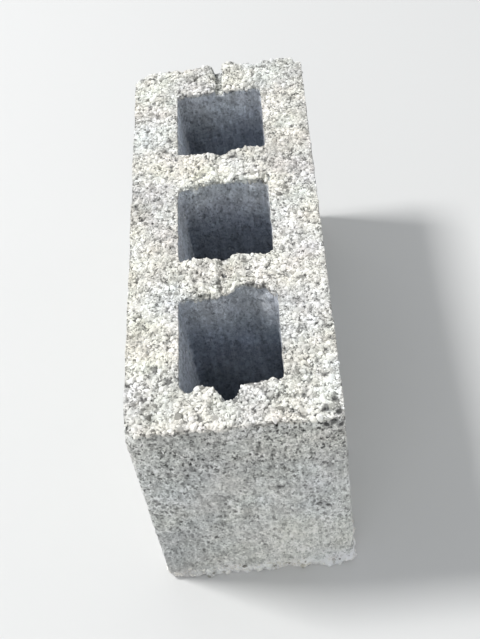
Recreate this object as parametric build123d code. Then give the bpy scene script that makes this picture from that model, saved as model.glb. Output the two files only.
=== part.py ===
from build123d import *
import math
import os

# Hollow concrete wall block, cast in one piece, 400 x 150 x 200 mm.
#
# Three nearly square cells stand in a row along its length. It lies as it leaves the mould: the
# rough struck face, where the cells are widest, is on top, and the walls thicken downwards with
# the draft of the mould's cores. The thin bar that held the cores has left a shallow valley
# across each cross web and a narrow slot through the end web at +Y. Its hanger has left a steep
# notch in the inner edge of the end web at -Y.
#
# The origin is at the middle of the bottom face: X across the width, Y along the length, Z up.
# Millimetres.

# The block
length = 400.0
width = 150.0
height = 200.0
corner_radius = 4.0

# The cells, and the walls between them, measured at the top face
cell_count = 3
face_shell = 38.0
end_web = 35.0
cross_web = 37.5
core_draft = 0.9
core_corner_radius = 3.0

# The struck tops of the webs, which sag between the face shells
web_sag = 2.0
web_sag_runout = 24.0

# The valley that the core bar leaves across each cross web, on the block's centre line
bar_valley_mouth = 15.0
bar_valley_root = 6.0
bar_valley_depth = 4.0

# The slot that the bar leaves through the end web at +Y
bar_slot_mouth = 9.0
bar_slot_root = 6.0
bar_slot_depth = 8.0

# The notch that the bar's hanger leaves in the inner edge of the end web at -Y
hanger_notch_mouth = 24.0
hanger_notch_root = 8.0
hanger_notch_depth = 18.0
hanger_notch_runout = 15.0

# A cutter stands this far out of the faces that it opens through
overrun = 8.0

cell_width = width - 2 * face_shell
cell_field = length - 2 * end_web
cell_length = (cell_field - (cell_count - 1) * cross_web) / cell_count
cell_pitch = cell_length + cross_web
core_taper = height * math.tan(math.radians(core_draft))


def spaced_along(count):
    """The Y positions of so many like features, one cell's pitch apart about the middle."""
    return [(index - (count - 1) / 2) * cell_pitch for index in range(count)]


def mould_body():
    """The block before its cores: a plain box with slightly rounded upright edges."""
    return extrude(RectangleRounded(width, length, corner_radius), amount=height)


def tapered_core():
    """One core of the mould: a cell's full size at the top face, drafted in to the bottom face."""
    top_face = Plane(origin=(0, 0, height), x_dir=(1, 0, 0), z_dir=(0, 0, -1))
    plan = RectangleRounded(cell_width, cell_length, core_corner_radius + core_taper)
    return extrude(top_face * plan, amount=height, taper=core_draft)


def sag_section():
    """A shallow arc from one face shell to the other, closed above the top face."""
    half = cell_width / 2
    bed = ThreePointArc((-half, 0), (0, -web_sag), (half, 0))
    lid = Polyline((half, 0), (half, overrun), (-half, overrun), (-half, 0))
    return make_face(bed + lid)


def notch_section(mouth, root, depth):
    """Sloping flanks from the mouth, at the top face, down to a narrower root with soft corners."""
    rise_past_mouth = (mouth - root) / 2 / depth * overrun
    half_top = mouth / 2 + rise_past_mouth
    corners = [(-half_top, overrun), (-root / 2, -depth), (root / 2, -depth), (half_top, overrun)]
    section = make_face(Polyline(*corners, close=True))
    return fillet(section.vertices().group_by(Axis.Y)[0], radius=root / 3)


def across_web(section, middle, thickness):
    """A cutter with this section, level with the top face, right across the web at this Y."""
    reach = thickness / 2 + overrun
    start = Plane(origin=(0, middle + reach, height), x_dir=(1, 0, 0), z_dir=(0, -1, 0))
    return extrude(start * section, amount=2 * reach)


def out_of_end_web(section, depth, runout):
    """A cutter with this section at the inner edge of the end web at -Y, climbing to the top face.

    It starts in the cell, one overrun short of the web, and its floor leaves the top face at
    the runout.
    """
    climb = depth / runout
    outwards = Vector(0, -1, climb)
    inner_edge = Vector(0, -cell_field / 2, height)
    start = Plane(origin=inner_edge - outwards * overrun, x_dir=(1, 0, 0), z_dir=(0, -1, 0))
    reach = (overrun + runout) * outwards.length
    return extrude(start * section, amount=reach, dir=outwards)


block = mould_body()
for middle in spaced_along(cell_count):
    block -= Pos(0, middle, 0) * tapered_core()

bar_valley = notch_section(bar_valley_mouth, bar_valley_root, bar_valley_depth)
for middle in spaced_along(cell_count - 1):
    block -= across_web(sag_section(), middle, cross_web)
    block -= across_web(bar_valley, middle, cross_web)

sag_cutter = out_of_end_web(sag_section(), web_sag, web_sag_runout)
for turn in (0, 180):
    block -= Rot(0, 0, turn) * sag_cutter

bar_slot = notch_section(bar_slot_mouth, bar_slot_root, bar_slot_depth)
block -= across_web(bar_slot, length / 2 - end_web / 2, end_web)

hanger_notch = notch_section(hanger_notch_mouth, hanger_notch_root, hanger_notch_depth)
block -= out_of_end_web(hanger_notch, hanger_notch_depth, hanger_notch_runout)

block.label = "hollow_block"
os.makedirs("parts", exist_ok=True)
export_step(block, "parts/hollow_block.step")
print("volume", round(block.volume / 1e6, 3), "litres,", block.bounding_box())
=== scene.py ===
import math

import bmesh
import bpy
import numpy as np
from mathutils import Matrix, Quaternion, Vector, noise


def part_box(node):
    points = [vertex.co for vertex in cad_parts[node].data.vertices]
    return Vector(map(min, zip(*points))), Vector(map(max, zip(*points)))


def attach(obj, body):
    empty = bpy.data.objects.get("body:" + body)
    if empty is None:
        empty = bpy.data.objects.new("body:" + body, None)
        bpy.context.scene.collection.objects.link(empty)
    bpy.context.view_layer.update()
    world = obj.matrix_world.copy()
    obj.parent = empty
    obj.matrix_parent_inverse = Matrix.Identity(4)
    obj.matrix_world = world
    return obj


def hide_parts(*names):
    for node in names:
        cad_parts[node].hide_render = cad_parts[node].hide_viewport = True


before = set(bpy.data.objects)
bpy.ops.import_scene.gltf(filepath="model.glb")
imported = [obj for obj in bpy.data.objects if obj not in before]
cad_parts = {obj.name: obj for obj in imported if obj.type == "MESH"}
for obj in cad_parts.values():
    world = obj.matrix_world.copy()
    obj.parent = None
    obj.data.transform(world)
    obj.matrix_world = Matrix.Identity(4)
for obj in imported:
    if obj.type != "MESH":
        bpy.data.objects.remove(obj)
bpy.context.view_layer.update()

# The block
# One hollow block of semi-dry concrete, pressed in a steel mould and struck off on top. The
# steel has left the walls sandy, pitted and streaked. The struck top is loose pale gravel, and
# its edges crumble round the webs, at both ends and along the foot.
BLOCK_NODE = "hollow_block"
half_width, half_length, block_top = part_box(BLOCK_NODE)[1]

# Its walls, as thick as they are at the top
FACE_SHELL = 0.038
END_WEB = 0.035
CROSS_WEB = 0.0375
CELL_COUNT = 3
cell_half_width = half_width - FACE_SHELL
row_half_length = half_length - END_WEB
cell_length = (2 * row_half_length - (CELL_COUNT - 1) * CROSS_WEB) / CELL_COUNT
cell_pitch = cell_length + CROSS_WEB
cell_middles = [(index - (CELL_COUNT - 1) / 2) * cell_pitch for index in range(CELL_COUNT)]

# How finely the block is meshed before its relief, and how many triangles are kept of it
MESH_STEP = 0.001
BLOCK_TRIANGLES = 192_000

# How far its edges crumble: in from the ends, in from the long sides and up from the foot
CRUMBLY_RIM = 0.004
FOOT_HEIGHT = 0.011

# Spots where this block's edges are broken, worn back or lumpy: place, radius, how far the
# middle of the spot is moved, and how many times as high as wide the spot is
BREAKS = [
    ((-0.075, -0.200, 0.200), 0.012, (0.0018, 0.0018, -0.0025), 1),
    ((0.013, -0.081, 0.200), 0.023, (0.0000, 0.0095, -0.0010), 3),
    ((-0.018, -0.080, 0.199), 0.009, (0.0000, 0.0015, 0.0010), 1),
    ((-0.031, -0.166, 0.200), 0.007, (0.0000, -0.0020, -0.0020), 1),
    ((-0.021, -0.164, 0.198), 0.008, (0.0015, 0.0015, 0.0004), 1),
    ((-0.010, -0.177, 0.197), 0.008, (-0.0025, -0.0010, -0.0025), 1),
    ((0.002, -0.171, 0.193), 0.024, (-0.0030, 0.0000, 0.0000), 1),
    ((0.027, -0.163, 0.199), 0.013, (0.0000, 0.0025, 0.0004), 1),
    ((0.000, 0.042, 0.200), 0.034, (0.0000, 0.0040, 0.0000), 2),
    ((0.036, 0.041, 0.200), 0.006, (0.0000, 0.0020, -0.0030), 1),
    ((0.023, 0.079, 0.199), 0.013, (0.0000, 0.0020, 0.0006), 1),
    ((0.012, 0.197, 0.200), 0.013, (0.0000, 0.0010, 0.0018), 1),
    ((-0.011, 0.198, 0.200), 0.008, (0.0000, 0.0010, 0.0012), 1),
    ((0.032, 0.200, 0.200), 0.008, (0.0000, -0.0015, -0.0018), 1),
    ((-0.075, 0.200, 0.200), 0.014, (0.0020, -0.0025, -0.0020), 1),
    ((0.075, 0.200, 0.200), 0.009, (-0.0015, -0.0015, -0.0020), 1),
    ((0.020, -0.200, 0.000), 0.010, (0.0000, 0.0025, 0.0000), 1),
    ((-0.073, -0.199, 0.000), 0.009, (0.0020, 0.0020, 0.0000), 1),
]

# Deep pits, painted dark as the shade in them, most of them together at one top corner: place,
# radius and depth
PITS = [
    ((0.063, -0.192, 0.200), 0.0024, 0.0022),
    ((0.071, -0.196, 0.200), 0.0020, 0.0022),
    ((0.056, -0.198, 0.200), 0.0018, 0.0018),
    ((0.067, -0.200, 0.196), 0.0026, 0.0020),
    ((0.072, -0.200, 0.191), 0.0020, 0.0018),
    ((0.062, -0.200, 0.193), 0.0020, 0.0016),
    ((0.069, -0.185, 0.200), 0.0018, 0.0018),
    ((0.052, -0.200, 0.093), 0.0022, 0.0014),
    ((0.058, -0.200, 0.090), 0.0020, 0.0014),
    ((0.054, -0.200, 0.087), 0.0013, 0.0010),
    ((0.024, -0.200, 0.121), 0.0018, 0.0012),
    ((-0.052, -0.200, 0.150), 0.0014, 0.0010),
    ((-0.030, -0.200, 0.058), 0.0013, 0.0010),
]

# Paler and darker patches on the end that shows, and painted light along its foot where the
# floor shades it: place, radius and how much lighter
END_PATCHES_AND_PAINTED_FOOT_LIGHT = [
    ((-0.068, -0.200, 0.038), 0.055, -0.17),
    ((-0.013, -0.200, 0.084), 0.024, 0.16),
    ((-0.018, -0.201, 0.003), 0.022, 0.28),
    ((0.012, -0.201, 0.003), 0.022, 0.30),
    ((0.040, -0.201, 0.003), 0.022, 0.28),
    ((0.067, -0.201, 0.003), 0.022, 0.32),
]

# Blender's noise stays within about 0.6 either way, and this brings it to about 1
NOISE_GAIN = 1.6

# How far noise is shifted for each seed, and what turns a stone's place into its own draw
WAVE_SHIFT = np.array((7.1, 3.7, 5.3))
STONE_SHIFT = np.array((2.9, 8.3, 4.1))
DRAW_MIX = Vector((12.99, 78.23, 37.72))

# The share of a spot's radius that is as strong as its middle
SPOT_CORE = 0.3

# How deep the voids between the stones of the struck top are, how dark they are painted as the
# shade in them, and how far they stay from the straight edges of the face shells
VOID_DEPTH = 0.0014
VOID_PAINTED_SHADE = 0.75
VOID_EDGE_ROOM = 0.0015


def as_array(items, name, width=1):
    """One property of every vertex, face or corner, as rows of an array."""
    found = np.empty(len(items) * width, np.float32)
    items.foreach_get(name, found)
    return found.reshape(-1, width).astype(float)


def fade(value, zero_at, one_at):
    """0 at one value, 1 at another and a smooth change between."""
    share = np.clip((value - zero_at) / (one_at - zero_at), 0, 1)
    return share * share * (3 - 2 * share)


def waves(points, size, seed, height=1, stretch=1):
    """Smooth noise of about this height either way, in bumps of this size, or drawn out upwards."""
    scaled = points / size / np.array((1, 1, stretch)) + WAVE_SHIFT * seed
    return height * NOISE_GAIN * np.array([noise.noise(point) for point in scaled.tolist()])


def stones(points, size, seed):
    """How far each point is from the nearest of many scattered centres, and that one's own draw."""
    scaled = points / size + STONE_SHIFT * seed
    distance = np.empty(len(points))
    draw = np.empty(len(points))
    for index, point in enumerate(scaled.tolist()):
        distances, centres = noise.voronoi(point)
        distance[index] = distances[0]
        draw[index] = centres[0].dot(DRAW_MIX) % 1
    return distance, draw


def domes(points, size, seed, height, reach):
    """Round stones of this reach about their centres, some flatter and some higher."""
    mean_dome, flattest = 0.6, 0.5
    distance, draw = stones(points, size, seed)
    dome = np.sqrt(np.clip(1 - (distance / reach) ** 2, 0, 1))
    return height * (dome - mean_dome) * (flattest + draw)


def near_spot(points, place, radius, tallness=1, raggedness=0):
    """1 at the middle of a spot, and 0 past its radius, or so many radii above and below it."""
    away = (points - np.array(place)) / (radius, radius, radius * tallness)
    return fade(np.linalg.norm(away, axis=1) + raggedness, zero_at=1.0, one_at=SPOT_CORE)


def broken(points):
    """How far each vertex is moved by the breaks."""
    raggedness = waves(points, size=0.0075, seed=21, height=0.25)
    raggedness *= fade(block_top - points[:, 2], zero_at=0.020, one_at=0.006)
    moves = np.zeros_like(points)
    for place, radius, move, tallness in BREAKS:
        moves += near_spot(points, place, radius, tallness, raggedness)[:, None] * np.array(move)
    return moves


def on_breaks(points):
    """1 at the middle of each break, and 0 past its radius."""
    return np.max([near_spot(points, place, radius) for place, radius, _, _ in BREAKS], axis=0)


def pit_depth(points):
    """How deep each vertex is sunk by the deep pits."""
    return np.max([depth * near_spot(points, place, radius) for place, radius, depth in PITS], axis=0)


def in_pits(points):
    """1 all over the walls of each deep pit, once its vertices are sunk, where it is painted dark as
    shade.
    """
    down_wall = 0.9
    reaches = [near_spot(points, place, radius + down_wall * depth) for place, radius, depth in PITS]
    return np.max(reaches, axis=0)


def patches_and_foot_light(points):
    """How much lighter each vertex is by the patches and the painted foot light."""
    return np.sum([light * near_spot(points, place, radius) for place, radius, light in END_PATCHES_AND_PAINTED_FOOT_LIGHT], axis=0)


def edge_room(points):
    """How far each point is from the straight top edges of the face shells."""
    x, y = np.abs(points[:, 0]), points[:, 1]
    by_cell = np.zeros(len(points), bool)
    for middle in cell_middles:
        by_cell |= np.abs(y - middle) < cell_length / 2 + MESH_STEP
    beside_cell = by_cell & (x > cell_half_width - 2 * MESH_STEP)
    return np.minimum(half_width - x, np.where(beside_cell, x - cell_half_width, half_width))


def voids(points):
    """1 in the open voids between the stones of the struck top."""
    open_spots = fade(waves(points, size=0.0042, seed=20), zero_at=0.48, one_at=0.66)
    return open_spots * (edge_room(points) > VOID_EDGE_ROOM)


def struck_relief(points):
    """Stones, the voids between them and the marks of the strokes, on the struck top."""
    marks = waves(points, size=0.020, seed=2, height=0.0005)
    marks += waves(points, size=0.009, seed=12, height=0.0004)
    pebbles = domes(points, size=0.0055, seed=1, height=0.0007, reach=0.72)
    return pebbles + marks - VOID_DEPTH * voids(points)


def wall_relief(points):
    """Sand, the upright streaks of the mould's pull, and ragged pits, on the moulded walls."""
    smallest_pit, pit_spread, lowest_draw, deepest = 0.06, 0.22, 0.55, 0.0016
    sand = waves(points, size=0.0065, seed=3, height=0.00030)
    sand += waves(points, size=0.0030, seed=4, height=0.00022)
    streaks = waves(points, size=0.0035, seed=5, height=0.00022, stretch=14)
    distance, draw = stones(points, size=0.0095, seed=6)
    distance += waves(points, size=0.0025, seed=17, height=0.12)
    reach = smallest_pit + pit_spread * draw
    pits = fade(reach - distance, zero_at=0, one_at=0.12) * (draw > lowest_draw)
    return sand + streaks - deepest * pits


def rubble_relief(points):
    """Coarse lumps and heaps on the webs."""
    mean_height = 0.0006
    heaps = mean_height + waves(points, size=0.014, seed=8, height=0.0008)
    return heaps + domes(points, size=0.0078, seed=7, height=0.0015, reach=0.75)


def rim_relief(points):
    """Crumbs and bites along the rim of the struck top and the upright corners."""
    bite_depth = 0.0016
    bites = fade(waves(points, size=0.012, seed=10), zero_at=0.15, one_at=0.75)
    return waves(points, size=0.007, seed=9, height=0.0007) - bite_depth * bites


def foot_relief(points):
    """A ragged lip along the foot, where the concrete has spread under the mould."""
    mean_lip, bite_depth = 0.0012, 0.0018
    lip = mean_lip + waves(points, size=0.006, seed=13, height=0.0014)
    bites = fade(waves(points, size=0.010, seed=14), zero_at=0.25, one_at=0.70)
    return lip - bite_depth * bites


def web_share(points):
    """1 over the webs, fading out towards the ends of the block."""
    x, y = np.abs(points[:, 0]), np.abs(points[:, 1])
    across = fade(x, zero_at=cell_half_width + 0.001, one_at=cell_half_width - 0.002)
    return across * fade(y, zero_at=half_length - 0.006, one_at=half_length - 0.014)


def relief(points, normals):
    """How far each vertex stands out along its normal."""
    x, y, z = np.abs(points[:, 0]), np.abs(points[:, 1]), points[:, 2]
    depth = block_top - z
    cell_roughness, side_crumble, least_share = 1.3, 0.4, 0.01
    facing_up = fade(normals[:, 2], zero_at=0.5, one_at=0.85)
    facing_down = fade(-normals[:, 2], zero_at=0.5, one_at=0.85)
    rougher = np.where(inside_share(points), cell_roughness, 1.0)
    wall = (1 - facing_up - facing_down) * rougher

    crest = web_share(points) * fade(depth, zero_at=0.018, one_at=0.004)
    crest *= fade(np.abs(normals[:, 0]), zero_at=0.9, one_at=0.5)
    crest *= fade(-normals[:, 1], zero_at=1.2, one_at=0.2)

    by_end = fade(half_length - y, zero_at=CRUMBLY_RIM, one_at=0.1 * CRUMBLY_RIM)
    by_side = fade(half_width - x, zero_at=CRUMBLY_RIM, one_at=0.1 * CRUMBLY_RIM)
    rim = np.maximum(by_end, side_crumble * by_side) * fade(depth, zero_at=0.005, one_at=0.001)
    corner = np.minimum(by_end, by_side)
    foot = np.maximum(by_end, by_side) * fade(z, zero_at=FOOT_HEIGHT, one_at=0.3 * FOOT_HEIGHT)

    height = -pit_depth(points)
    for share, shape in (
        (facing_up, struck_relief),
        (wall, wall_relief),
        (crest, rubble_relief),
        (rim, rim_relief),
        (corner, rim_relief),
        (foot, foot_relief),
    ):
        where = np.flatnonzero(share > least_share)
        height[where] += share[where] * shape(points[where])
    return height


def struck_share(points, normals):
    """1 on the pale struck top, the crests of the webs and the broken top edges."""
    mean_depth, mean_wear, mean_rubble = 0.0014, 0.0006, 0.0020
    notch_half_width, notch_slack, notch_depth, web_depth = 0.015, 0.002, 0.024, 0.008
    depth = block_top - points[:, 2]
    at_end = fade(np.abs(points[:, 1]), zero_at=half_length - 0.005, one_at=half_length - 0.001)
    worn = mean_wear + waves(points, size=0.009, seed=18, height=0.0016)
    worn += waves(points, size=0.025, seed=19, height=0.0010)
    rubbly = mean_rubble + waves(points, size=0.009, seed=15, height=0.0025)
    limit = mean_depth + waves(points, size=0.006, seed=11, height=0.0007)
    limit += at_end * worn + web_share(points) * rubbly
    on_top = fade(depth - limit, zero_at=0.0012, one_at=-0.0006)

    in_notch = np.abs(points[:, 0]) < notch_half_width
    in_notch &= points[:, 1] < notch_slack - row_half_length
    on_webs = web_share(points) * fade(normals[:, 2], zero_at=0.20, one_at=0.45)
    on_webs *= fade(depth, zero_at=np.where(in_notch, notch_depth, web_depth), one_at=0.004)
    fresh = on_breaks(points) * fade(depth, zero_at=0.005, one_at=0.002)
    return np.maximum(np.maximum(on_top, on_webs), fresh)


def inside_share(points):
    """1 on the walls of the cells."""
    past_wall, above_bed = 0.002, 0.0015
    x, y, z = np.abs(points[:, 0]), np.abs(points[:, 1]), points[:, 2]
    in_plan = (x < cell_half_width + past_wall) & (y < row_half_length + past_wall)
    return in_plan & (z > above_bed)


def painted_cell_shade_share(points, normals):
    """Where the webs' walls in the cells are painted dark as shade: 1 in their middle, and fading out
    towards both mouths.
    """
    z = points[:, 2]
    on_web = fade(np.abs(normals[:, 1]), zero_at=0.45, one_at=0.80)
    between = fade(block_top - z, zero_at=0.007, one_at=0.056) * fade(z, zero_at=0.015, one_at=0.080)
    return inside_share(points) * on_web * between


def foot_share(points):
    """1 along the pale foot of the outer walls."""
    outer_skin, mean_height = 0.006, 0.015
    x, y, z = np.abs(points[:, 0]), np.abs(points[:, 1]), points[:, 2]
    outer = np.maximum(x - half_width, y - half_length) > -outer_skin
    ragged_height = mean_height + waves(points, size=0.008, seed=16, height=0.0045)
    return outer * fade(z, zero_at=ragged_height, one_at=0.006)


def with_modifier(mesh, kind, **settings):
    """The mesh after one modifier."""
    holder = bpy.data.objects.new("holder", mesh)
    bpy.context.scene.collection.objects.link(holder)
    modifier = holder.modifiers.new(kind, kind)
    for name, value in settings.items():
        setattr(modifier, name, value)
    graph = bpy.context.evaluated_depsgraph_get()
    result = bpy.data.meshes.new_from_object(holder.evaluated_get(graph), depsgraph=graph)
    bpy.data.objects.remove(holder)
    return result


def even_mesh(node):
    """A CAD solid as an even, closed mesh with softened edges."""
    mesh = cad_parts[node].data.copy()
    shape = bmesh.new()
    shape.from_mesh(mesh)
    bmesh.ops.remove_doubles(shape, verts=shape.verts, dist=1e-6)
    shape.to_mesh(mesh)
    shape.free()
    return with_modifier(mesh, "REMESH", mode="VOXEL", voxel_size=MESH_STEP)


mesh = even_mesh(BLOCK_NODE)
points = as_array(mesh.vertices, "co", 3)
normals = as_array(mesh.vertex_normals, "vector", 3)
points += normals * relief(points, normals)[:, None] + broken(points)
points[:, 2] = np.maximum(points[:, 2], 0)
mesh.vertices.foreach_set("co", points.astype(np.float32).ravel())
mesh.update()
mesh = with_modifier(mesh, "DECIMATE", ratio=BLOCK_TRIANGLES / (2 * len(mesh.polygons)))
mesh.name = "block_body"
mesh.shade_smooth()

points = as_array(mesh.vertices, "co", 3)
normals = as_array(mesh.vertex_normals, "vector", 3)
struck = struck_share(points, normals)
for name, values in (
    ("struck", struck),
    ("inside", inside_share(points)),
    # deep: the webs' walls in the cells, where they are painted dark as shade
    ("deep", painted_cell_shade_share(points, normals)),
    ("foot", foot_share(points)),
    ("patches_and_foot_light", patches_and_foot_light(points)),
    # pitted: where the pits and the voids between the stones are painted dark as their shade
    ("pitted", np.maximum(in_pits(points), VOID_PAINTED_SHADE * struck * voids(points))),
    ("edge_room", edge_room(points)),
):
    mesh.attributes.new(name, "FLOAT", "POINT").data.foreach_set("value", values.astype(np.float32))

# Flat charts, the block's own UV map for baking: one for each of its outer faces and for each wall
# of its cells, laid out in rows on a square sheet
CHART_MAP = "OFBake"
CHART_GAP = 0.012
CHART_REACH = 0.006
sheet_side = 2 * (2 * half_length + CHART_GAP)


def flat_face(middle, outward, across, wide, high):
    """One flat face: its middle, its outward, across and up directions, and its size."""
    directions = [np.array(direction) for direction in (outward, across, np.cross(outward, across))]
    return np.array(middle), *directions, wide, high


def flat_faces():
    """The outer faces of the block and the walls of its cells."""
    faces = []
    halfway = block_top / 2
    for side in (-1, 1):
        place = (side * half_width, 0, halfway)
        faces.append(flat_face(place, (side, 0, 0), (0, side, 0), 2 * half_length, block_top))
    for side in (-1, 1):
        place = (0, side * half_length, halfway)
        faces.append(flat_face(place, (0, side, 0), (-side, 0, 0), 2 * half_width, block_top))
    for middle in cell_middles:
        for side in (-1, 1):
            place = (side * cell_half_width, middle, halfway)
            faces.append(flat_face(place, (-side, 0, 0), (0, -side, 0), cell_length, block_top))
            place = (0, middle + side * cell_length / 2, halfway)
            faces.append(flat_face(place, (0, -side, 0), (side, 0, 0), 2 * cell_half_width, block_top))
    for side in (-1, 1):
        place = (0, 0, block_top if side > 0 else 0)
        faces.append(flat_face(place, (0, 0, side), (0, 1, 0), 2 * half_length, 2 * half_width))
    return faces


def chart_places(faces):
    """Where the middle of each face's chart lies on the sheet, row by row."""
    places = []
    x, y, row = 0.0, 0.0, 0.0
    for *_, wide, high in faces:
        if x + wide + CHART_GAP > sheet_side + MESH_STEP:
            x, y, row = 0.0, y + row, 0.0
        places.append((x + (wide + CHART_GAP) / 2, y + (high + CHART_GAP) / 2))
        x += wide + CHART_GAP
        row = max(row, high + CHART_GAP)
    return places


def chosen_faces(mesh, faces):
    """For each face of the mesh, the flat face that it lies nearest to and points most along."""
    centres = as_array(mesh.polygons, "center", 3)
    normals = as_array(mesh.polygons, "normal", 3)
    fits = []
    for middle, outward, across, up, wide, high in faces:
        away = centres - middle
        distance = np.abs(away @ outward)
        distance += np.maximum(np.abs(away @ across) - wide / 2, 0)
        distance += np.maximum(np.abs(away @ up) - high / 2, 0)
        fits.append(normals @ outward - distance / CHART_REACH)
    return np.argmax(fits, axis=0)


def lay_charts(mesh):
    """The block's own UV map, at one scale all over."""
    faces = flat_faces()
    corner_counts = as_array(mesh.polygons, "loop_total").astype(int).ravel()
    chosen = np.repeat(chosen_faces(mesh, faces), corner_counts)
    corners = points[as_array(mesh.loops, "vertex_index").astype(int).ravel()]
    spots = np.empty((len(corners), 2))
    for index, (face, place) in enumerate(zip(faces, chart_places(faces))):
        middle, _, across, up, _, _ = face
        away = corners[chosen == index] - middle
        spots[chosen == index] = np.column_stack((away @ across, away @ up)) + place
    layer = mesh.uv_layers.new(name=CHART_MAP)
    layer.uv.foreach_set("vector", (spots / sheet_side).astype(np.float32).ravel())


lay_charts(mesh)
block = bpy.data.objects.new("block_body", mesh)
bpy.context.scene.collection.objects.link(block)
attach(block, "root")
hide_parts(BLOCK_NODE)


def put(tree, kind, inputs=None, **settings):
    """A new node with these settings, its inputs filled with values or other nodes' sockets."""
    made = tree.nodes.new(kind)
    for name, value in settings.items():
        setattr(made, name, value)
    for socket, value in (inputs or {}).items():
        if isinstance(value, bpy.types.NodeSocket):
            tree.links.new(value, made.inputs[socket])
        else:
            made.inputs[socket].default_value = value
    return made


def sums(tree, operation, *numbers):
    """The result of a sum of numbers."""
    return put(tree, "ShaderNodeMath", dict(enumerate(numbers)), operation=operation).outputs[0]


def fit(tree, value, low, high, new_low=0.0, new_high=1.0):
    """A number brought from one range to another, and held inside it."""
    inputs = {"Value": value, "From Min": low, "From Max": high, "To Min": new_low, "To Max": new_high}
    return put(tree, "ShaderNodeMapRange", inputs).outputs[0]


def vector_sum(tree, operation, first, second):
    """The result of a sum of two directions, or of one and a number."""
    second_socket = "Scale" if operation == "SCALE" else 1
    inputs = {0: first, second_socket: second}
    return put(tree, "ShaderNodeVectorMath", inputs, operation=operation).outputs[0]


def mixed(tree, share, first, second, kind="MIX"):
    """Two colours mixed by a share, and none of it paler than white."""
    settings = {"data_type": "RGBA", "blend_type": kind, "clamp_result": True}
    return put(tree, "ShaderNodeMix", {0: share, 6: first, 7: second}, **settings).outputs[2]


def shaded(tree, colour, light):
    """A colour made lighter or darker by a number."""
    return mixed(tree, 1.0, colour, light, "MULTIPLY")


def shades(tree, value, stops):
    """A colour for each number from 0 to 1, from stops of place and colour."""
    ramp = put(tree, "ShaderNodeValToRGB", {0: value})
    elements = ramp.color_ramp.elements
    elements[0].color = (*stops[0][1], 1)
    elements[1].color = (*stops[-1][1], 1)
    for place, colour in stops[1:-1]:
        elements.new(place).color = (*colour, 1)
    return ramp.outputs[0]


def cloud(tree, place, size, low=0.0, high=1.0, detail=3.0):
    """A number between low and high, in soft patches of about this size."""
    usual_lowest, usual_highest = 0.3, 0.7
    inputs = {"Vector": place, "Scale": 1 / size, "Detail": detail, "Roughness": 0.6}
    found = put(tree, "ShaderNodeTexNoise", inputs).outputs[0]
    return fit(tree, found, usual_lowest, usual_highest, low, high)


def shaken(tree, place, size, reach):
    """A place moved about by noise, so that what is drawn there gets ragged edges."""
    noise_node = put(tree, "ShaderNodeTexNoise", {"Vector": place, "Scale": 1 / size, "Detail": 2.0})
    push = vector_sum(tree, "SUBTRACT", noise_node.outputs["Color"], (0.5, 0.5, 0.5))
    return vector_sum(tree, "ADD", place, vector_sum(tree, "SCALE", push, reach))


def speckle(tree, place, size, dark_share, dark, spread):
    """Packed grains, each as light as 1 give or take the spread, and a share of them dark pores, darker
    partly by their own colour and partly by painted shade.
    """
    darkest_share = 0.6 * dark_share
    found = put(tree, "ShaderNodeTexVoronoi", {"Vector": place, "Scale": 1 / size})
    draw = put(tree, "ShaderNodeSeparateColor", {0: found.outputs["Color"]}).outputs[0]
    pores = fit(tree, draw, darkest_share, dark_share, dark, 1.0)
    return sums(tree, "MULTIPLY", pores, fit(tree, draw, dark_share, 1.0, 1 - spread, 1 + spread))


def own_number(tree, name):
    """A number that the mesh keeps for each of its vertices."""
    return put(tree, "ShaderNodeAttribute", attribute_name=name).outputs["Fac"]


def matt_surface(name):
    """A material of a dry matt mineral, with its tree, its shader and its place on the object."""
    material = bpy.data.materials.new(name)
    material.use_nodes = True
    tree = material.node_tree
    shader = tree.nodes["Principled BSDF"]
    shader.inputs["Specular IOR Level"].default_value = 0.2
    place = put(tree, "ShaderNodeTexCoord").outputs["Object"]
    return material, tree, shader, place


WALL_GREY = (0.715, 0.725, 0.705, 1)
# The cells' walls, painted a cooler grey as the sky-lit shade in them
CELL_COOL_PAINTED_SHADE = (0.675, 0.71, 0.77, 1)
# Painted shade deep down the webs' walls in the cells, darker and bluer
DEEP_PAINTED_SHADE = (0.254, 0.287, 0.345, 1)
FOOT_GREY = (0.855, 0.855, 0.85, 1)
PIT_PAINTED_SHADE = (0.07, 0.07, 0.07, 1)
PASTE_GREY = (0.82, 0.81, 0.77, 1)
WARM_TINT = (1.0, 0.975, 0.895, 1)
COOL_TINT = (0.94, 0.965, 1.0, 1)
ROSY_TINT = (1.0, 0.965, 0.975, 1)
GREEN_TINT = (0.975, 1.0, 0.985, 1)
WALL_TINT_SHARE = 0.6
GRAIN_HEIGHT = 0.8
STONE_SHADES = [
    (0.00, (0.26, 0.255, 0.24)),
    (0.09, (0.56, 0.55, 0.52)),
    (0.21, (0.87, 0.86, 0.82)),
    (0.70, (0.93, 0.925, 0.89)),
    (1.00, (1.00, 1.00, 0.98)),
]


def patches(tree, place):
    """How light the struck top is, in patches of two sizes."""
    small = cloud(tree, place, size=0.0091, low=0.76, high=1.19)
    large = cloud(tree, place, size=0.038, low=0.75, high=1.14)
    return sums(tree, "MULTIPLY", small, large)


def patchy_tint(tree, place):
    """A near-white tint in soft patches, warm or cool, and rosy or green."""
    by_warmth = mixed(tree, cloud(tree, place, size=0.055), COOL_TINT, WARM_TINT)
    by_rose = mixed(tree, cloud(tree, place, size=0.032), GREEN_TINT, ROSY_TINT)
    return mixed(tree, 1.0, by_warmth, by_rose, "MULTIPLY")


concrete, tree, shader, place = matt_surface("pressed_concrete")
tall = put(tree, "ShaderNodeMapping", {"Vector": place, "Scale": (1.2, 1.2, 0.75)}).outputs[0]
ragged = shaken(tree, tall, size=0.0017, reach=0.003)
upright = put(tree, "ShaderNodeMapping", {"Vector": place, "Scale": (1.0, 1.0, 0.07)}).outputs[0]
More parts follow.
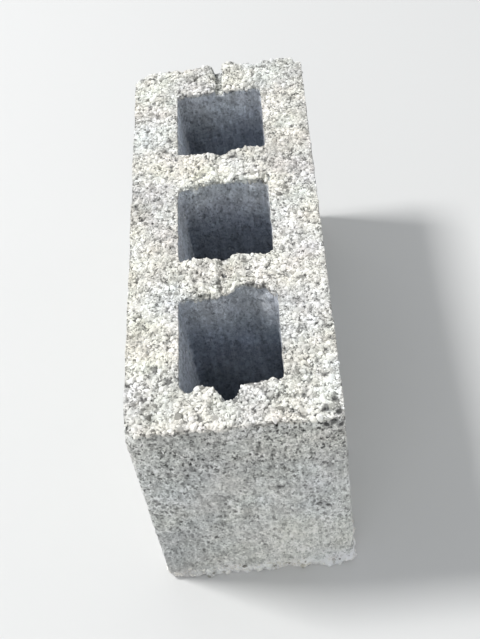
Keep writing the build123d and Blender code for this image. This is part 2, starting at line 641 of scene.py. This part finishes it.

# Grains and pores of three sizes, the pores darker partly by their own colour and partly by painted
# shade, more open towards the top, and closer in the cells and the foot
how_high = put(tree, "ShaderNodeSeparateXYZ", {0: place}).outputs[2]
open_share = fit(tree, how_high, 0.0, block_top, new_low=0.60, new_high=1.0)
open_share = sums(tree, "MULTIPLY", open_share, cloud(tree, place, size=0.045, low=0.70, high=1.30))
for name, openness in (("inside", 0.6), ("foot", 0.55)):
    closed_up = fit(tree, own_number(tree, name), 0.0, 1.0, new_low=1.0, new_high=openness)
    open_share = sums(tree, "MULTIPLY", open_share, closed_up)
grain = speckle(tree, ragged, size=0.0018, dark_share=0.13, dark=0.40, spread=0.30)
coarse = speckle(tree, ragged, size=0.0030, dark_share=0.05, dark=0.62, spread=0.20)
fine = speckle(tree, place, size=0.0010, dark_share=0.14, dark=0.60, spread=0.15)
grain = sums(tree, "MULTIPLY", sums(tree, "MULTIPLY", grain, coarse), fine)
open_grain = sums(tree, "MULTIPLY_ADD", sums(tree, "SUBTRACT", grain, 1.0), open_share, 1.0)

# Moulded walls: those grains under broad blotches and the upright streaks of the mould's pull
blotches = cloud(tree, place, size=0.071, low=0.79, high=1.21)
mottle = cloud(tree, place, size=0.0083, low=0.84, high=1.16)
streaks = cloud(tree, upright, size=0.004, low=0.83, high=1.17, detail=2.0)
light = sums(tree, "MULTIPLY", sums(tree, "MULTIPLY", blotches, mottle), streaks)
light = sums(tree, "MULTIPLY", light, open_grain)
# Patches on the end that shows, and painted light along its foot where the floor shades it
light = sums(tree, "MULTIPLY_ADD", light, own_number(tree, "patches_and_foot_light"), light)
tint = patchy_tint(tree, place)
# Cell walls with painted shade: a cooler grey all over, and a darker blue-grey deep down the webs' walls
cell = mixed(tree, own_number(tree, "deep"), CELL_COOL_PAINTED_SHADE, DEEP_PAINTED_SHADE)
wall = mixed(tree, own_number(tree, "inside"), WALL_GREY, cell)
wall = mixed(tree, own_number(tree, "foot"), wall, FOOT_GREY)
wall = mixed(tree, WALL_TINT_SHARE, shaded(tree, wall, light), tint, "MULTIPLY")

# Struck top: sandy paste between the stones, and open pits and voids painted dark as their shade
sand = cloud(tree, place, size=0.0021, low=0.80, high=1.15)
paste_light = sums(tree, "MULTIPLY", sums(tree, "MULTIPLY", grain, sand), patches(tree, place))
paste = shaded(tree, PASTE_GREY, paste_light)
paste = mixed(tree, 1.0, paste, tint, "MULTIPLY")
colour = mixed(tree, own_number(tree, "struck"), wall, paste)
colour = mixed(tree, own_number(tree, "pitted"), colour, PIT_PAINTED_SHADE)
tree.links.new(colour, shader.inputs["Base Color"])

dust = cloud(tree, place, size=0.0011, high=0.16)
height = sums(tree, "ADD", dust, sums(tree, "MULTIPLY_ADD", grain, GRAIN_HEIGHT, sand))
bump = put(tree, "ShaderNodeBump", {"Height": height, "Strength": 0.9, "Distance": 0.0006}).outputs[0]
tree.links.new(bump, shader.inputs["Normal"])
tree.links.new(cloud(tree, place, size=0.0021, low=0.86, high=0.98), shader.inputs["Roughness"])
mesh.materials.clear()
mesh.materials.append(concrete)

# The aggregate
# Crushed stones lie half sunk in the paste of the struck top and on the rubble of its webs, and
# paler crumbs cling along the foot. Each has its own shape, size, turn and shade.
stone, tree, shader, place = matt_surface("pale_aggregate")
shader.inputs["Roughness"].default_value = 0.92
colour = shades(tree, own_number(tree, "tone"), STONE_SHADES)
light = sums(tree, "MULTIPLY", patches(tree, place), cloud(tree, place, size=0.0013, low=0.88, high=1.12))
colour = shaded(tree, colour, light)
colour = mixed(tree, 1.0, colour, patchy_tint(tree, place), "MULTIPLY")
tree.links.new(colour, shader.inputs["Base Color"])
grit = cloud(tree, place, size=0.0013)
bump = put(tree, "ShaderNodeBump", {"Height": grit, "Strength": 0.7, "Distance": 0.0002}).outputs[0]
tree.links.new(bump, shader.inputs["Normal"])

# How many shapes of stone there are, how wide and deep the dents in them are, and how far the
# noise that dents them is shifted from one shape to the next
STONE_KINDS = 8
DENT_SCALE = 0.9
DENT_DEPTH = 2.2
KIND_SHIFT = 3.7

# So many points on each square metre are tried before the spacing thins them, and none are kept
# where the painted shade of the pits and voids is more than this
POINTS_TRIED = 600_000.0
MOST_PITTED = 0.1


def moved(tree, geometry, **places):
    """The geometry with its points at a new position or moved by an offset."""
    return put(tree, "GeometryNodeSetPosition", {"Geometry": geometry, **places}).outputs[0]


def drawn(tree, kind, seed, **limits):
    """A random number or direction for each point between its limits."""
    node = put(tree, "FunctionNodeRandomValue", {"Seed": seed}, data_type=kind)
    sockets = [socket for socket in node.inputs if socket.enabled]
    for socket, limit in zip(sockets, limits.values()):
        if isinstance(limit, bpy.types.NodeSocket):
            tree.links.new(limit, socket)
        else:
            socket.default_value = limit
    return next(socket for socket in node.outputs if socket.enabled)


def crushed_stones(tree, subdivisions):
    """A set of stones of about radius 1, each the hull of a dented ball."""
    kinds = put(tree, "GeometryNodeJoinGeometry")
    for kind in range(STONE_KINDS):
        ball = put(tree, "GeometryNodeMeshIcoSphere", {"Radius": 1.0, "Subdivisions": subdivisions})
        noise_inputs = {"W": KIND_SHIFT * kind, "Scale": DENT_SCALE}
        dents = put(tree, "ShaderNodeTexNoise", noise_inputs, noise_dimensions="4D")
        push = vector_sum(tree, "SUBTRACT", dents.outputs["Color"], (0.5, 0.5, 0.5))
        push = vector_sum(tree, "SCALE", push, DENT_DEPTH)
        hull = put(tree, "GeometryNodeConvexHull", {0: moved(tree, ball.outputs[0], Offset=push)})
        apart = put(tree, "GeometryNodeGeometryToInstance", {0: hull.outputs[0]})
        tree.links.new(apart.outputs[0], kinds.inputs[0])
    return kinds.outputs[0]


def scatter_tree():
    """Stones scattered on a surface, partly sunk in it and none of them below the floor."""
    tree = bpy.data.node_groups.new("scattered_stones", "GeometryNodeTree")
    tree.interface.new_socket(name="Geometry", in_out="INPUT", socket_type="NodeSocketGeometry")
    sockets = {}
    for name, kind in (
        ("Mask", "String"),
        ("Spacing", "Float"),
        ("Edge Room", "Float"),
        ("Lowest Tilt", "Float"),
        ("Smallest Radius", "Float"),
        ("Largest Radius", "Float"),
        ("Sunk Share", "Float"),
        ("Subdivisions", "Int"),
        ("Seed", "Int"),
        ("Material", "Material"),
    ):
        socket = tree.interface.new_socket(name=name, in_out="INPUT", socket_type="NodeSocket" + kind)
        sockets[name] = socket.identifier
    tree.interface.new_socket(name="Geometry", in_out="OUTPUT", socket_type="NodeSocketGeometry")
    given = put(tree, "NodeGroupInput").outputs

    def kept(name):
        return put(tree, "GeometryNodeInputNamedAttribute", {"Name": name}, data_type="FLOAT").outputs[0]

    normal = put(tree, "GeometryNodeInputNormal").outputs[0]
    tilt = put(tree, "ShaderNodeSeparateXYZ", {0: normal}).outputs[2]
    bare = fit(tree, kept(given["Mask"]), low=0.4, high=0.8)
    bare = sums(tree, "MULTIPLY", bare, sums(tree, "GREATER_THAN", tilt, given["Lowest Tilt"]))
    bare = sums(tree, "MULTIPLY", bare, sums(tree, "GREATER_THAN", kept("edge_room"), given["Edge Room"]))
    bare = sums(tree, "MULTIPLY", bare, sums(tree, "LESS_THAN", kept("pitted"), MOST_PITTED))
    spread = {
        "Mesh": given["Geometry"],
        "Distance Min": given["Spacing"],
        "Density Max": POINTS_TRIED,
        "Density Factor": bare,
        "Seed": given["Seed"],
    }
    spread = put(tree, "GeometryNodeDistributePointsOnFaces", spread, distribute_method="POISSON")
    limits = {"low": given["Smallest Radius"], "high": given["Largest Radius"]}
    radius = drawn(tree, "FLOAT", given["Seed"], **limits)
    sink = sums(tree, "MULTIPLY", sums(tree, "MULTIPLY", radius, given["Sunk Share"]), -1.0)
    sink = vector_sum(tree, "SCALE", spread.outputs["Normal"], sink)
    shape = drawn(tree, "FLOAT_VECTOR", 3, low=(0.75, 0.75, 0.65), high=(1.25, 1.25, 1.05))
    placing = {
        "Points": moved(tree, spread.outputs["Points"], Offset=sink),
        "Instance": crushed_stones(tree, given["Subdivisions"]),
        "Pick Instance": True,
        "Instance Index": drawn(tree, "INT", 7, low=0, high=STONE_KINDS - 1),
        "Rotation": drawn(tree, "FLOAT_VECTOR", 5, low=(0, 0, 0), high=(math.tau, math.tau, math.tau)),
        "Scale": vector_sum(tree, "SCALE", shape, radius),
    }
    placed = put(tree, "GeometryNodeInstanceOnPoints", placing).outputs[0]
    toned = {"Geometry": placed, "Name": "tone", "Value": drawn(tree, "FLOAT", 9, low=0.0, high=1.0)}
    toned = put(tree, "GeometryNodeStoreNamedAttribute", toned, data_type="FLOAT", domain="INSTANCE")
    real = put(tree, "GeometryNodeRealizeInstances", {0: toned.outputs[0]}).outputs[0]
    place = put(tree, "GeometryNodeInputPosition").outputs[0]
    beyond_block = -10.0
    above_floor = vector_sum(tree, "MAXIMUM", place, (beyond_block, beyond_block, 0.0))
    real = moved(tree, real, Position=above_floor)
    finished = put(tree, "GeometryNodeSetMaterial", {"Geometry": real, "Material": given["Material"]})
    put(tree, "NodeGroupOutput", {0: finished.outputs[0]})
    return tree, sockets


stone_tree, stone_sockets = scatter_tree()


def scattered_stones(name, **choices):
    """A plain mesh of the stones that the tree scatters on the block with these choices."""
    holder = bpy.data.objects.new("holder", block.data)
    bpy.context.scene.collection.objects.link(holder)
    modifier = holder.modifiers.new("stones", "NODES")
    modifier.node_group = stone_tree
    for label, value in {**choices, "Material": stone}.items():
        modifier[stone_sockets[label.replace("_", " ")]] = value
    graph = bpy.context.evaluated_depsgraph_get()
    result = bpy.data.meshes.new_from_object(holder.evaluated_get(graph), depsgraph=graph)
    bpy.data.objects.remove(holder)
    piece = bpy.data.objects.new(name, result)
    bpy.context.scene.collection.objects.link(piece)
    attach(piece, "root")


scattered_stones(
    "coarse_aggregate",
    Mask="struck",
    Spacing=0.0038,
    Edge_Room=0.0018,
    Lowest_Tilt=-0.1,
    Smallest_Radius=0.0014,
    Largest_Radius=0.0028,
    Sunk_Share=0.58,
    Subdivisions=2,
    Seed=11,
)
scattered_stones(
    "fine_aggregate",
    Mask="struck",
    Spacing=0.0020,
    Edge_Room=0.0007,
    Lowest_Tilt=-0.1,
    Smallest_Radius=0.0007,
    Largest_Radius=0.0015,
    Sunk_Share=0.40,
    Subdivisions=1,
    Seed=23,
)
scattered_stones(
    "foot_crumbs",
    Mask="foot",
    Spacing=0.0030,
    Edge_Room=-1.0,
    Lowest_Tilt=-0.6,
    Smallest_Radius=0.0009,
    Largest_Radius=0.0026,
    Sunk_Share=0.50,
    Subdivisions=1,
    Seed=31,
)

# The studio
# A pale floor under the block, a soft lamp high on the left, weaker ones in front, behind and
# low on the right, and an even pale world.
FLOOR_GREY = (0.67, 0.67, 0.66)
FLOOR_REACH = 4.0
WORLD_TINT = (0.95, 0.98, 1.02, 1)
WORLD_STRENGTH = 0.50

floor_corners = [(FLOOR_REACH * x, FLOOR_REACH * y, 0) for x, y in ((-1, -1), (1, -1), (1, 1), (-1, 1))]
floor_mesh = bpy.data.meshes.new("floor")
floor_mesh.from_pydata(floor_corners, [], [(0, 1, 2, 3)])
floor = bpy.data.objects.new("floor", floor_mesh)
bpy.context.scene.collection.objects.link(floor)
floor_paint = bpy.data.materials.new("floor_paint")
floor_paint.use_nodes = True
floor_paint.node_tree.nodes["Principled BSDF"].inputs["Base Color"].default_value = (*FLOOR_GREY, 1)
floor_paint.node_tree.nodes["Principled BSDF"].inputs["Roughness"].default_value = 0.9
floor_mesh.materials.append(floor_paint)

scene = bpy.context.scene
scene.view_settings.view_transform = "Standard"
world = bpy.data.worlds.new("world")
world.use_nodes = True
world.node_tree.nodes["Background"].inputs["Color"].default_value = WORLD_TINT
world.node_tree.nodes["Background"].inputs["Strength"].default_value = WORLD_STRENGTH
scene.world = world


def soft_lamp(name, place, size, power):
    """A square lamp at a place, turned to the middle of the block."""
    lamp = bpy.data.lights.new(name, "AREA")
    lamp.size = size
    lamp.energy = power
    holder = bpy.data.objects.new(name, lamp)
    holder.location = place
    towards_block = Vector((0, 0, block_top / 2)) - Vector(place)
    holder.rotation_euler = towards_block.to_track_quat("-Z", "Y").to_euler()
    scene.collection.objects.link(holder)


soft_lamp("key_lamp", place=(-1.90, 0.40, 3.20), size=0.70, power=111)
soft_lamp("fill_lamp", place=(-0.3, -1.6, 1.25), size=1.2, power=4)
soft_lamp("side_lamp", place=(2.2, 0.3, 0.45), size=1.2, power=6)
soft_lamp("back_lamp", place=(-0.5, 1.7, 0.85), size=1.2, power=3)

# The camera stands where the photograph was taken from, turned to the block and drawn closer
# by its lens. Its roll is the photograph's.
CAMERA_PLACE = Vector((0.0537, -0.6231, 0.7935))
CAMERA_AIM = Vector((0.0, -0.012, 0.092))
CAMERA_ROLL = math.radians(-9.7)
LENS = 61.4

camera_data = bpy.data.cameras.new("camera")
camera_data.lens = LENS
camera = bpy.data.objects.new("camera", camera_data)
camera.location = CAMERA_PLACE
camera.rotation_mode = "QUATERNION"
facing = (CAMERA_AIM - CAMERA_PLACE).to_track_quat("-Z", "Y")
camera.rotation_quaternion = facing @ Quaternion((0, 0, 1), CAMERA_ROLL)
scene.collection.objects.link(camera)
scene.camera = camera
